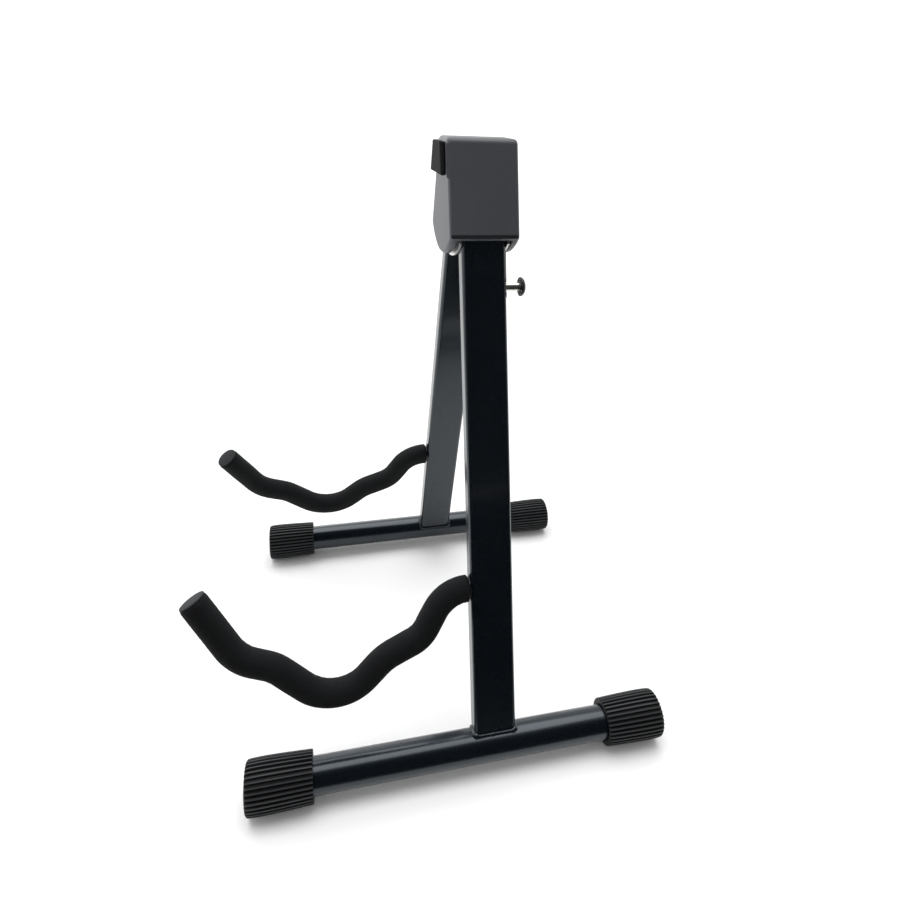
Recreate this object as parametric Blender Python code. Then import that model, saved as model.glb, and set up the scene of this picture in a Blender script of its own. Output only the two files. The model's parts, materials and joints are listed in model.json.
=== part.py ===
"""Folding A-frame instrument stand with two padded cradle arms.

The right leg (+X) folds against the fixed leg (-X) inside a moulded head, and a
sprung pull pin on its back locks it open. Metres, +Z up. The arms point to -Y.
"""

import math

import bmesh
import bpy
from mathutils import Matrix, Vector

# ---------------------------------------------------------------- driving sizes
LEG_LEAN = math.radians(16.8)      # each leg from upright, stand open
LEG_LENGTH = 0.3705                # pivot to foot axis, along the leg
LEG_WIDTH = 0.030                  # leg tube, front to back
LEG_THICK = 0.014                  # leg tube, side to side
LEG_WALL = 0.0015
LEG_CORNER = 0.0030
FOOT_FRONT = 0.1655                # foot tube ahead of the leg's centre
FOOT_BACK = 0.1230                 # foot tube behind the leg's centre
FOOT_OUTSET = 0.0014               # foot axis outside the leg's centreline
TUBE_DIAMETER = 0.0235
TUBE_WALL = 0.0015
CAP_WALL = 0.00485                 # rubber over the tube, at the ribs' middle
CAP_LENGTH = 0.0430
CAP_END_WALL = 0.0028
CAP_RIBS = 33
CAP_RIB_DEPTH = 0.0008
CAP_BARREL = 0.0010                # how much the radius falls to the mouth
CAP_END_BARREL = 0.0024            # and to the closed end
CAP_LIP = 0.0016
FOLD_GAP = 0.0052                  # between the feet's caps when folded
ROD_DIAMETER = 0.0120
ROD_ROOT = 0.0080                  # rod inside the leg
ARM_DROP = 0.2545                  # pivot down to the arm's root, along the leg
FOAM_WALL = 0.0029
FOAM_START = 0.0008                # bare rod beside the leg
TIP_FLANGE = 0.0010                # tip plug's flange over the foam's end
TIP_INSET = 0.0006                 # the flange's edge inside the foam's
PLUG_DEPTH = 0.0100
PLATE_THICK = 0.0015
PLATE_RISE = 0.0370                # plate top above the pivot
PLATE_SHOW = 0.0017                # plate below the cheek's round bottom
COVER_WALL = 0.0020
COVER_TOP = 0.0030
CHEEK_THICK = 0.0046
CHEEK_SPACE = 0.0022               # hinge plate to cheek
HEAD_RISE = 0.0488                 # head's top above the pivot
SIDE_DROP = 0.0120                 # side walls end below the pivot
CHEEK_DROP = 0.0275                # cheeks' round bottoms below the pivot
HEAD_CORNER = 0.0050
HEAD_EDGE = 0.0024
SEAT_RAISE = 0.0009                # pad's seat proud of the front cheek
SEAT_MARGIN = 0.0013               # seat below the pad
PAD_THICK = 0.0032
PAD_HEIGHT = 0.0205
PAD_DROP = 0.0027                  # pad's upper edge below the head's top
PAD_INSET = 0.0032                 # pad's side edges in from the head's
PAD_EDGE = 0.0010
BOLT_DIAMETER = 0.0050
BOLT_RIM = 0.00275                 # head and nut past the shank
BOLT_HEAD_HEIGHT = 0.0028
BOLT_CROWN = 0.0010                # the head's rounded edge
SPACER_WALL = 0.0010
CLAMP_PITCH = 0.0150               # fixed leg's two bolts
INSERT_DEPTH = 0.0260              # plastic insert down the leg's top
COVER_SCREW_DIAMETER = 0.0034
COVER_SCREW_HEAD = 0.0068
COVER_SCREW_RISE = 0.0260
COVER_SCREW_PITCH = 0.0180
PIN_DIAMETER = 0.0055
PIN_DROP = 0.0470                  # pivot down to the lock pin, along the leg
PIN_STEP = 0.00095                 # neck and clip groove below the pin's surface
PIN_TRAVEL = 0.0062
PIN_SHOW = 0.0110                  # leg's back face to the knob
KNOB_RIM = 0.00385                 # knob past the pin
KNOB_DEPTH = 0.0036
GUIDE_LIP = 0.0007                 # guide's flange past its sleeve
GUIDE_WALL = 0.0009
CLIP_THICK = 0.0008
SPRING_WIRE = 0.0008
SPRING_TURNS = 5
TONGUE_RIM = 0.0040                # metal around the lock slot
TAB_LENGTH = 0.0100
TAB_DROP = 0.0100
GAP = 0.0003                       # between pieces that touch
CUT = 0.0020                       # cutters run this far past a face

# ------------------------------------------------------------- worked-out places
COS, SIN, TAN = math.cos(LEG_LEAN), math.sin(LEG_LEAN), math.tan(LEG_LEAN)
CAP_DIAMETER = TUBE_DIAMETER + 2 * (GAP + CAP_WALL)
FOAM_DIAMETER = ROD_DIAMETER + 2 * (GAP + FOAM_WALL)
BOLT_HEAD_DIAMETER = BOLT_DIAMETER + 2 * BOLT_RIM
SPACER_HOLE = BOLT_DIAMETER / 2 + 2 * GAP + SPACER_WALL
PAD_TOP = HEAD_RISE - PAD_DROP
PAD_FROM = PAD_TOP - PAD_HEIGHT
FOOT_Z = CAP_DIAMETER / 2
PIVOT_X = (CAP_DIAMETER / 2 + FOLD_GAP / 2 - FOOT_OUTSET) / COS
PIVOT_Z = FOOT_Z + LEG_LENGTH * COS - FOOT_OUTSET * SIN
FOLD_ANGLE = 2 * LEG_LEAN          # the legs end parallel
TAB_OFFSET = LEG_THICK / 2 + GAP
PLATE_OFFSET = TAB_OFFSET + PLATE_THICK
COVER_OFFSET = PLATE_OFFSET + GAP + COVER_WALL
PLATE_IN = LEG_WIDTH / 2 + GAP
PLATE_OUT = PLATE_IN + PLATE_THICK
CHEEK_IN = PLATE_OUT + CHEEK_SPACE
CHEEK_OUT = CHEEK_IN + CHEEK_THICK
BORE = TUBE_DIAMETER / 2 + GAP
CAP_OVER = CAP_END_WALL + GAP      # cap past the tube's end

# Arm centreline: run forward of the leg's face, rise along the leg, bend radius.
ARM_RUN = (
    (0.0000, 0.0000, 0.0),
    (0.0166, 0.0000, 0.026),
    (0.0342, -0.0301, 0.0235),
    (0.0600, -0.0410, 0.038),
    (0.0925, -0.0714, 0.0305),
    (0.1317, -0.0366, 0.0308),
    (0.1544, -0.0274, 0.030),
    (0.1794, 0.0154, 0.0),
)
# Knob outline: share of the knob's radius, share of its depth from the flange.
KNOB_PROFILE = (
    (0.60, 0.00),
    (0.74, 0.14),
    (0.94, -0.10),
    (1.00, 0.06),
    (0.94, 0.42),
    (0.72, 0.74),
    (0.40, 0.94),
    (0.12, 1.00),
)
KNOB_SOCKET = 0.55                 # share of the knob's depth the pin fills
ARM_END = Vector((ARM_RUN[-1][0], ARM_RUN[-1][1]))
ARM_TIP = (ARM_END - Vector(ARM_RUN[-2][:2])).normalized()
ARM_REACH = ARM_END.x - (TIP_FLANGE + GAP) * ARM_TIP.x + FOAM_DIAMETER / 2 * ARM_TIP.y

FRONT_Y = -(LEG_WIDTH / 2 + ARM_REACH)
BACK_Y = FOOT_BACK + CAP_OVER
SHIFT_Y = -(FRONT_Y + BACK_Y) / 2  # the leg's centre plane, from the box's centre

# --------------------------------------------------------------------- finishes
FINISHES = {
    "black_paint": ((0.020, 0.022, 0.026), 0.36, 0.0),
    "charcoal_plastic": ((0.045, 0.047, 0.055), 0.45, 0.0),
    "black_rubber": ((0.016, 0.016, 0.017), 0.85, 0.0),
    "black_foam": ((0.014, 0.014, 0.016), 0.95, 0.0),
    "black_plastic": ((0.018, 0.018, 0.020), 0.40, 0.0),
    "natural_plastic": ((0.600, 0.590, 0.550), 0.50, 0.0),
    "zinc_steel": ((0.620, 0.620, 0.600), 0.32, 1.0),
    "nickel_steel": ((0.700, 0.680, 0.640), 0.22, 1.0),
}


def finish(node, kind):
    """Give a node its own Principled material."""
    colour, roughness, metallic = FINISHES[kind]
    material = bpy.data.materials.new(node + "_finish")
    material.use_nodes = True
    shader = material.node_tree.nodes["Principled BSDF"]
    shader.inputs["Base Color"].default_value = (*colour, 1.0)
    shader.inputs["Roughness"].default_value = roughness
    shader.inputs["Metallic"].default_value = metallic
    return material


# ------------------------------------------------------------------ mesh helpers
def make(name, mesh_code, frame, kind=None):
    """New object from a bmesh, parented to a frame; no kind makes a cutter."""
    bmesh.ops.recalc_face_normals(mesh_code, faces=mesh_code.faces)
    mesh = bpy.data.meshes.new(name)
    mesh_code.to_mesh(mesh)
    mesh_code.free()
    mesh.shade_smooth()
    mesh.set_sharp_from_angle(angle=math.radians(35))
    item = bpy.data.objects.new(name, mesh)
    bpy.context.scene.collection.objects.link(item)
    item.parent = frame
    if kind:
        mesh.materials.append(finish(name, kind))
    else:
        item.hide_render = True
        item.display_type = "WIRE"
    return item


def combine(item, tool, operation="DIFFERENCE"):
    """Cut an object with a cutter, or join one to it."""
    step = item.modifiers.new(tool.name, "BOOLEAN")
    step.operation = operation
    step.solver = "EXACT"
    step.object = tool


def bridge_rings(mesh_code, rings, closed):
    """Quads between neighbouring rings, with end faces where the run is open."""
    pairs = list(zip(rings, rings[1:]))
    if closed:
        pairs.append((rings[-1], rings[0]))
    for first, second in pairs:
        for index in range(len(first)):
            after = (index + 1) % len(first)
            mesh_code.faces.new((first[index], first[after], second[after], second[index]))
    if not closed:
        mesh_code.faces.new(rings[0])
        mesh_code.faces.new(rings[-1][::-1])


def turned(name, profile, frame, kind=None, centre=(0, 0), segments=32, solid=True):
    """Round piece about local Y. The profile is (radius, y) points, end to end."""
    mesh_code = bmesh.new()
    rings = []
    for radius, y in profile:
        rings.append([
            mesh_code.verts.new((
                centre[0] + radius * math.cos(2 * math.pi * turn / segments),
                y,
                centre[1] + radius * math.sin(2 * math.pi * turn / segments),
            ))
            for turn in range(segments)
        ])
    bridge_rings(mesh_code, rings, closed=not solid)
    return make(name, mesh_code, frame, kind)


def rod(name, radius, y_from, y_to, frame, centre=(0, 0), segments=32):
    """Plain round cutter along local Y."""
    return turned(name, [(radius, y_from), (radius, y_to)], frame, None, centre, segments)


def extruded(name, outline, y_from, y_to, frame, kind=None):
    """Outline in X and Z, extruded along Y."""
    mesh_code = bmesh.new()
    rings = [[mesh_code.verts.new((x, y, z)) for x, z in outline] for y in (y_from, y_to)]
    bridge_rings(mesh_code, rings, closed=False)
    return make(name, mesh_code, frame, kind)


def rounded_rectangle(width_x, width_y, radius, steps=4):
    """Corner-rounded rectangle in X and Y, anticlockwise."""
    points = []
    for turn, (sx, sy) in enumerate(((1, 1), (-1, 1), (-1, -1), (1, -1))):
        centre = (sx * (width_x / 2 - radius), sy * (width_y / 2 - radius))
        for step in range(steps + 1):
            angle = math.pi / 2 * (turn + step / steps)
            points.append((centre[0] + radius * math.cos(angle),
                           centre[1] + radius * math.sin(angle)))
    return points


def tube_along_z(name, outer, inner, z_from, z_to, frame, kind):
    """Straight tube along local Z, or a bar where there is no inner outline."""
    mesh_code = bmesh.new()
    levels = [(outer, z_from), (outer, z_to)]
    if inner:
        levels += [(inner, z_to), (inner, z_from)]
    rings = [[mesh_code.verts.new((x, y, z)) for x, y in ring] for ring, z in levels]
    bridge_rings(mesh_code, rings, closed=bool(inner))
    return make(name, mesh_code, frame, kind)


def arc(centre, radius, start, end, steps):
    """Points on a circle in X and Z; angles from straight down, towards +X."""
    return [
        (centre[0] + radius * math.sin(start + (end - start) * step / steps),
         centre[1] - radius * math.cos(start + (end - start) * step / steps))
        for step in range(steps + 1)
    ]


def meet_circle(start, direction, centre, radius):
    """Far point where a line from start meets a circle."""
    offset = Vector(start) - Vector(centre)
    along = Vector(direction).normalized()
    half = offset.dot(along)
    reach = -half + math.sqrt(half * half - offset.length_squared + radius * radius)
    return tuple(Vector(start) + along * reach)


def arm_path(spacing=0.0075):
    """Arm centreline as (run, rise) points, with its bends rounded."""
    points = [Vector(ARM_RUN[0][:2])]
    for before, corner, after in zip(ARM_RUN, ARM_RUN[1:], ARM_RUN[2:]):
        here = Vector(corner[:2])
        back = (Vector(before[:2]) - here).normalized()
        ahead = (Vector(after[:2]) - here).normalized()
        half = back.angle(ahead) / 2
        radius = corner[2]
        centre = here + (back + ahead).normalized() * radius / math.sin(half)
        start = here + back * radius / math.tan(half) - centre
        sweep = start.angle_signed(here + ahead * radius / math.tan(half) - centre)
        steps = max(3, round(abs(sweep) * radius / spacing))
        for step in range(steps + 1):
            points.append(centre + Matrix.Rotation(-sweep * step / steps, 2) @ start)
    points.append(ARM_END.copy())
    return points


def trim_path(points, start, end):
    """The part of a path between two distances from its beginning."""
    kept = []
    travelled = 0.0
    for first, second in zip(points, points[1:]):
        length = (second - first).length
        for mark in (start, end):
            if travelled <= mark < travelled + length:
                kept.append(first.lerp(second, (mark - travelled) / length))
                if mark == end:
                    return kept
        travelled += length
        if start < travelled < end and (second - kept[-1]).length > GAP:
            kept.append(second)
    return kept + [points[-1]]


def swept(name, path, radii, inner, frame, kind, sides=12):
    """Round bar or sleeve along an arm's (run, rise) points, one outer radius for each."""
    mesh_code = bmesh.new()

    def ring(radius, index):
        before, after = path[max(index - 1, 0)], path[min(index + 1, len(path) - 1)]
        ahead = (after - before).normalized()
        normal = Vector((-ahead.y, ahead.x))
        verts = []
        for turn in range(sides):
            angle = 2 * math.pi * turn / sides
            place = path[index] + normal * radius * math.sin(angle)
            verts.append(mesh_code.verts.new(
                (radius * math.cos(angle), -LEG_WIDTH / 2 - place.x, place.y - ARM_DROP)))
        return verts

    rings = [ring(radius, index) for index, radius in enumerate(radii)]
    if inner:
        rings += [ring(inner, index) for index in reversed(range(len(path)))]
    bridge_rings(mesh_code, rings, closed=bool(inner))
    return make(name, mesh_code, frame, kind)


def helix(name, radius, wire, y_from, y_to, turns, frame, kind, sides=5, per_turn=10):
    """Coil spring along local Y, round the pin's axis."""
    mesh_code = bmesh.new()
    count = turns * per_turn
    pitch = (y_to - y_from - wire) / count
    rings = []
    for index in range(count + 1):
        angle = 2 * math.pi * index / per_turn
        out = Vector((math.cos(angle), 0, math.sin(angle)))
        centre = out * radius + Vector((0, y_from + wire / 2 + pitch * index, -PIN_DROP))
        rings.append([
            mesh_code.verts.new(centre + out * wire / 2 * math.cos(2 * math.pi * side / sides)
                                + Vector((0, wire / 2 * math.sin(2 * math.pi * side / sides), 0)))
            for side in range(sides)
        ])
    bridge_rings(mesh_code, rings, closed=False)
    return make(name, mesh_code, frame, kind)


# -------------------------------------------------------------------- the head
def side_line(offset, z):
    """X of a wall that runs parallel to the legs, at a height from the pivot."""
    return PIVOT_X + offset / COS - TAN * z


CHEEK_RADIUS = ((side_line(COVER_OFFSET, -SIDE_DROP) ** 2 + (CHEEK_DROP - SIDE_DROP) ** 2)
                / (2 * (CHEEK_DROP - SIDE_DROP)))
CHEEK_CENTRE = (0.0, CHEEK_RADIUS - CHEEK_DROP)


def mirrored(right_half):
    """Close a right-hand half outline, bottom to top, with its mirror image."""
    left_half = [(-x, z) for x, z in reversed(right_half) if x > GAP]
    return right_half + left_half


def bowl_corner(offset, radius):
    """Where a wall at an offset meets a round bottom, as an angle and a point."""
    start = (side_line(offset, 0), 0)
    point = meet_circle(start, (TAN, -1), CHEEK_CENTRE, radius)
    return math.atan2(point[0] - CHEEK_CENTRE[0], CHEEK_CENTRE[1] - point[1]), point


def rounded_top(offset, top, radius, steps=5):
    """Right-hand top corner of a head outline, with a flat across the top."""
    corner = Vector((side_line(offset, top), top))
    down = Vector((TAN, -1)).normalized()
    across = Vector((-1, 0))
    half = down.angle(across) / 2
    centre = corner + (down + across).normalized() * radius / math.sin(half)
    start = corner + down * radius / math.tan(half) - centre
    sweep = start.angle_signed(corner + across * radius / math.tan(half) - centre)
    return [tuple(centre + Matrix.Rotation(-sweep * step / steps, 2) @ start)
            for step in range(steps + 1)]


def head_cover(frame):
    """Moulded cover: straight side walls, round-bottomed front and back cheeks."""
    angle, _ = bowl_corner(COVER_OFFSET, CHEEK_RADIUS)
    outline = mirrored(arc(CHEEK_CENTRE, CHEEK_RADIUS, 0, angle, 10)
                       + rounded_top(COVER_OFFSET, HEAD_RISE, HEAD_CORNER))
    cover = extruded("head_cover", outline, -CHEEK_OUT, CHEEK_OUT, frame, "charcoal_plastic")
    soften = cover.modifiers.new("rounded_edges", "BEVEL")
    soften.width = HEAD_EDGE
    soften.segments = 3
    soften.angle_limit = math.radians(70)

    seat_from = PAD_FROM - SEAT_MARGIN
    seat_offset = COVER_OFFSET - GAP
    seat = extruded("seat_shape", mirrored(
        [(0, seat_from), (side_line(seat_offset, seat_from), seat_from)]
        + rounded_top(seat_offset, HEAD_RISE - HEAD_EDGE, HEAD_CORNER - HEAD_EDGE, 3)
    ), -CHEEK_OUT - SEAT_RAISE, -CHEEK_IN - GAP, frame)
    seat_edges = seat.modifiers.new("rounded_edges", "BEVEL")
    seat_edges.width = SEAT_RAISE / 2
    seat_edges.segments = 2
    combine(cover, seat, "UNION")

    hollow_offset = COVER_OFFSET - COVER_WALL
    hollow_top = HEAD_RISE - COVER_TOP
    below = CHEEK_DROP + CUT
    hollow = extruded("cover_hollow", mirrored([
        (0, -below),
        (side_line(hollow_offset, -below), -below),
        (side_line(hollow_offset, hollow_top), hollow_top),
        (0, hollow_top),
    ]), -CHEEK_IN, CHEEK_IN, frame)
    combine(cover, hollow)

    pocket = BOLT_HEAD_DIAMETER / 2 + 2 * GAP
    deep = PLATE_OUT + GAP + BOLT_HEAD_HEIGHT + 2 * GAP
    for label, place in bolt_places().items():
        combine(cover, rod(label + "_pocket", pocket, -deep, deep, frame, place, 16))
    for label, x in cover_screw_places().items():
        place = (x, COVER_SCREW_RISE)
        combine(cover, rod(label + "_hole", COVER_SCREW_DIAMETER / 2 + GAP,
                           CHEEK_IN - CUT, CHEEK_OUT + CUT, frame, place, 12))
        combine(cover, rod(label + "_recess", COVER_SCREW_HEAD / 2 + GAP,
                           CHEEK_OUT - CHEEK_THICK / 2, CHEEK_OUT + CUT, frame, place, 16))
    return cover


def rest_pad(frame):
    """Rubber block on the front of the head."""
    pad_offset = COVER_OFFSET - PAD_INSET
    back = CHEEK_OUT + SEAT_RAISE + GAP
    pad = extruded("rest_pad", mirrored([
        (0, PAD_FROM),
        (side_line(pad_offset, PAD_FROM), PAD_FROM),
        (side_line(pad_offset, PAD_TOP), PAD_TOP),
        (0, PAD_TOP),
    ]), -back - PAD_THICK, -back, frame, "black_rubber")
    soften = pad.modifiers.new("rounded_edges", "BEVEL")
    soften.width = PAD_EDGE
    soften.segments = 2


def bolt_places():
    """Hinge bolt axes in the head, from its centre at the pivots' height."""
    return {
        "pivot": (PIVOT_X, 0),
        "clamp_upper": (-PIVOT_X, 0),
        "clamp_lower": (-PIVOT_X - CLAMP_PITCH * SIN, -CLAMP_PITCH * COS),
    }


def cover_screw_places():
    return {"cover_screw_left": -COVER_SCREW_PITCH / 2, "cover_screw_right": COVER_SCREW_PITCH / 2}


def plate_bowl():
    """Right-hand half of a hinge plate's round bottom, as an angle and a radius."""
    radius = CHEEK_RADIUS + PLATE_SHOW
    return bowl_corner(PLATE_OFFSET, radius)[0], radius


def plate_top():
    return [(side_line(PLATE_OFFSET, PLATE_RISE), PLATE_RISE), (0, PLATE_RISE)]


def front_hinge_plate(frame):
    angle, radius = plate_bowl()
    outline = mirrored(arc(CHEEK_CENTRE, radius, 0, angle, 10) + plate_top())
    plate = extruded("front_hinge_plate", outline, -PLATE_OUT, -PLATE_IN, frame, "zinc_steel")
    drill_plate(plate, -1, frame)


def rear_hinge_plate(frame):
    """Plate with a fan-shaped lock tongue behind the folding leg's top."""
    angle, radius = plate_bowl()
    pivot = (PIVOT_X, 0)
    slot_half = PIN_DIAMETER / 2 + GAP
    slot_end = LEG_LEAN - FOLD_ANGLE
    fan_radius = PIN_DROP + slot_half + TONGUE_RIM
    fan_from = slot_end - (slot_half + TONGUE_RIM) / PIN_DROP
    fan_to = LEG_LEAN - GAP / PIN_DROP
    roots = []
    for edge in (fan_from, fan_to):
        point = meet_circle(pivot, (math.sin(edge), -math.cos(edge)), CHEEK_CENTRE, radius)
        roots.append(math.atan2(point[0] - CHEEK_CENTRE[0], CHEEK_CENTRE[1] - point[1]))
    outline = (arc(CHEEK_CENTRE, radius, -angle, roots[0], 8)
               + arc(pivot, fan_radius, fan_from, fan_to, 12)
               + arc(CHEEK_CENTRE, radius, roots[1], angle, 4)
               + plate_top()
               + [(-plate_top()[0][0], PLATE_RISE)])
    plate = extruded("rear_hinge_plate", outline, PLATE_IN, PLATE_OUT, frame, "zinc_steel")
    drill_plate(plate, 1, frame)

    near, far = PLATE_IN - CUT, PLATE_OUT + CUT
    slot_mouth = LEG_LEAN + 4 * slot_half / PIN_DROP
    combine(plate, extruded("lock_slot", arc(pivot, PIN_DROP + slot_half, slot_end, slot_mouth, 12)
                            + arc(pivot, PIN_DROP - slot_half, slot_mouth, slot_end, 12),
                            near, far, frame))
    seat = (PIVOT_X + PIN_DROP * math.sin(slot_end), -PIN_DROP * math.cos(slot_end))
    combine(plate, rod("slot_round", slot_half + GAP / 10, near, far, frame, seat, 24))

    for label, side in (("stop_tab_fixed", -1), ("stop_tab_folding", 1)):
        inner, outer = TAB_OFFSET, PLATE_OFFSET - GAP / 6
        tab = extruded(label, [
            (side * side_line(inner, 0), 0),
            (side * side_line(outer, 0), 0),
            (side * side_line(outer, -TAB_DROP), -TAB_DROP),
            (side * side_line(inner, -TAB_DROP), -TAB_DROP),
        ], PLATE_IN - TAB_LENGTH, PLATE_OUT - GAP, frame)
        combine(plate, tab, "UNION")


def drill_plate(plate, side, frame):
    """Bolt holes, and on the rear plate the cover screws' holes."""
    near, far = sorted((side * (PLATE_IN - CUT), side * (PLATE_OUT + CUT)))
    for label, place in bolt_places().items():
        combine(plate, rod(plate.name + label, BOLT_DIAMETER / 2 + GAP,
                           near, far, frame, place, 24))
    if side > 0:
        for label, x in cover_screw_places().items():
            combine(plate, rod(plate.name + label, COVER_SCREW_DIAMETER / 2 + GAP, near, far,
                               frame, (x, COVER_SCREW_RISE), 16))


def hinge_bolt(label, place, frame):
    """Low-headed bolt from the front, with its nut behind and a spacer tube between."""
    radius = BOLT_DIAMETER / 2
    head = BOLT_HEAD_DIAMETER / 2
    face = PLATE_OUT + GAP
    outer = face + BOLT_HEAD_HEIGHT
    turned(label + "_bolt", [
        (head - BOLT_CROWN, -outer),
        (head, -outer + BOLT_CROWN),
        (head, -face),
        (radius, -face),
        (radius, outer - GAP),
    ], frame, "zinc_steel", place, 18)
    nut = turned(label + "_nut", [(head, face), (head, outer)], frame, "zinc_steel", place, 6)
    combine(nut, rod(label + "_nut_bore", radius + GAP,
                     face - CUT, outer + CUT, frame, place, 24))
    turned(label + "_spacer", [
        (radius + GAP, -PLATE_IN + GAP),
        (SPACER_HOLE - GAP, -PLATE_IN + GAP),
        (SPACER_HOLE - GAP, PLATE_IN - GAP),
        (radius + GAP, PLATE_IN - GAP),
    ], frame, "zinc_steel", place, 18, solid=False)


def cover_screw(label, x, frame):
    """Pan-headed screw through the back cheek into the rear hinge plate."""
    radius = COVER_SCREW_DIAMETER / 2
    head = COVER_SCREW_HEAD / 2
    under = CHEEK_OUT - CHEEK_THICK / 2 + GAP
    crown = CHEEK_OUT - GAP
    turned(label, [
        (radius / 2, PLATE_IN - 2 * PLATE_THICK),
        (radius, PLATE_IN - PLATE_THICK),
        (radius, under),
        (head, under),
        (head, (under + crown) / 2),
        (head - BOLT_CROWN, crown),
    ], frame, "zinc_steel", (x, COVER_SCREW_RISE), 14)


# --------------------------------------------------------------------- the legs
def leg(name, side, bolts, frame):
    """Flat-sided tube, round at the pivot end and coped to the foot tube."""
    outer = rounded_rectangle(LEG_THICK, LEG_WIDTH, LEG_CORNER)
    inner = rounded_rectangle(LEG_THICK - 2 * LEG_WALL, LEG_WIDTH - 2 * LEG_WALL,
                              LEG_CORNER - LEG_WALL)
    tube = tube_along_z(name, outer, inner, -LEG_LENGTH, LEG_THICK, frame, "black_paint")
    round_radius = LEG_THICK / 2 - GAP / 2
    past = LEG_THICK + CUT
    crown = arc((0, 0), round_radius, math.pi / 2, 3 * math.pi / 2, 14)
    above = [(-past, 0), (-past, past), (past, past), (past, 0)]
    combine(tube, extruded(name + "_crown", crown + above, -LEG_WIDTH, LEG_WIDTH, frame))
    combine(tube, rod(name + "_cope", BORE, -LEG_WIDTH, LEG_WIDTH, frame,
                      (side * FOOT_OUTSET, -LEG_LENGTH), 40))
    for index, drop in enumerate(bolts):
        combine(tube, rod(f"{name}_bore_{index}", SPACER_HOLE,
                          -LEG_WIDTH, LEG_WIDTH, frame, (0, -drop), 24))
    combine(tube, rod(name + "_arm_hole", ROD_DIAMETER / 2 + GAP, -LEG_WIDTH, 0, frame,
                      (0, -ARM_DROP), 24))
    return tube


def leg_insert(name, bolts, frame):
    """Plastic block inside the leg's top, bored for the spacer tubes."""
    inside_x = LEG_THICK - 2 * LEG_WALL - 2 * GAP
    inside_y = LEG_WIDTH - 2 * LEG_WALL - 2 * GAP
    corner = LEG_CORNER - LEG_WALL - GAP
    block = tube_along_z(name, rounded_rectangle(inside_x, inside_y, corner), None,
                         -INSERT_DEPTH, BOLT_DIAMETER / 2, frame, "natural_plastic")
    for index, drop in enumerate(bolts):
        combine(block, rod(f"{name}_bore_{index}", SPACER_HOLE,
                           -LEG_WIDTH, LEG_WIDTH, frame, (0, -drop), 24))


def foot(prefix, side, frame):
    """Foot tube along Y with its two caps, turned so a rib stands straight down."""
    axis = empty_at(prefix + "_foot_axis", (side * FOOT_OUTSET, 0, -LEG_LENGTH),
                    side * LEG_LEAN, frame)
    radius = TUBE_DIAMETER / 2
    turned(prefix + "_foot_tube", [
        (radius - TUBE_WALL, -FOOT_FRONT),
        (radius, -FOOT_FRONT),
        (radius, FOOT_BACK),
        (radius - TUBE_WALL, FOOT_BACK),
    ], axis, "black_paint", (0, 0), 36, solid=False)
    end_cap(prefix + "_cap_front", -FOOT_FRONT, -1, axis)
    end_cap(prefix + "_cap_back", FOOT_BACK, 1, axis)


def end_cap(name, tube_end, side, frame):
    """Ribbed rubber cup over a foot tube's end, a rib straight down."""
    mesh_code = bmesh.new()
    outer_end = tube_end + side * CAP_OVER
    mouth = outer_end - side * CAP_LENGTH
    lip = mouth + side * CAP_LIP
    rib_end = outer_end - side * CAP_LIP / 2
    full = CAP_DIAMETER / 2

    def ring(base, y, rib_depth=0.0):
        """Points round the foot's axis; every other one sits between two ribs."""
        verts = []
        for index in range(2 * CAP_RIBS):
            angle = math.pi * (index - 0.5) / CAP_RIBS - math.pi / 2
            radius = base - rib_depth * (index % 2)
            verts.append(mesh_code.verts.new(
                (radius * math.cos(angle), y, radius * math.sin(angle))))
        return verts

    bridge_rings(mesh_code, [
        ring(full - CAP_END_BARREL, outer_end),
        ring(full - CAP_BARREL, rib_end, CAP_RIB_DEPTH),
        ring(full, (lip + rib_end) / 2, CAP_RIB_DEPTH),
        ring(full - CAP_BARREL, lip, CAP_RIB_DEPTH),
        ring(full - CAP_BARREL, mouth),
        ring(BORE, mouth),
        ring(BORE, tube_end + side * GAP),
    ], closed=False)
    make(name, mesh_code, frame, "black_rubber")


def arm(prefix, frame):
    """Bent rod, its foam sleeve and the flanged plug in the sleeve's end."""
    path = arm_path()
    length = sum((b - a).length for a, b in zip(path, path[1:]))
    rod_radius = ROD_DIAMETER / 2
    flange_radius = FOAM_DIAMETER / 2 - TIP_INSET
    rod_path = [Vector((-ROD_ROOT, 0))] + trim_path(path, 0, length - PLUG_DEPTH)
    swept(prefix + "_cradle_rod", rod_path, [rod_radius] * len(rod_path), None,
          frame, "black_paint", 10)
    foam_path = trim_path(path, FOAM_START, length - TIP_FLANGE - GAP)
    swept(prefix + "_foam_sleeve", foam_path, [FOAM_DIAMETER / 2] * len(foam_path),
          rod_radius + GAP, frame, "black_foam")
    plug_path = [ARM_END - ARM_TIP * depth
                 for depth in (PLUG_DEPTH - GAP, TIP_FLANGE, TIP_FLANGE, 0)]
    swept(prefix + "_tip_plug", plug_path,
          [rod_radius, rod_radius, flange_radius, flange_radius], None,
          frame, "black_plastic", 16)


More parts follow.
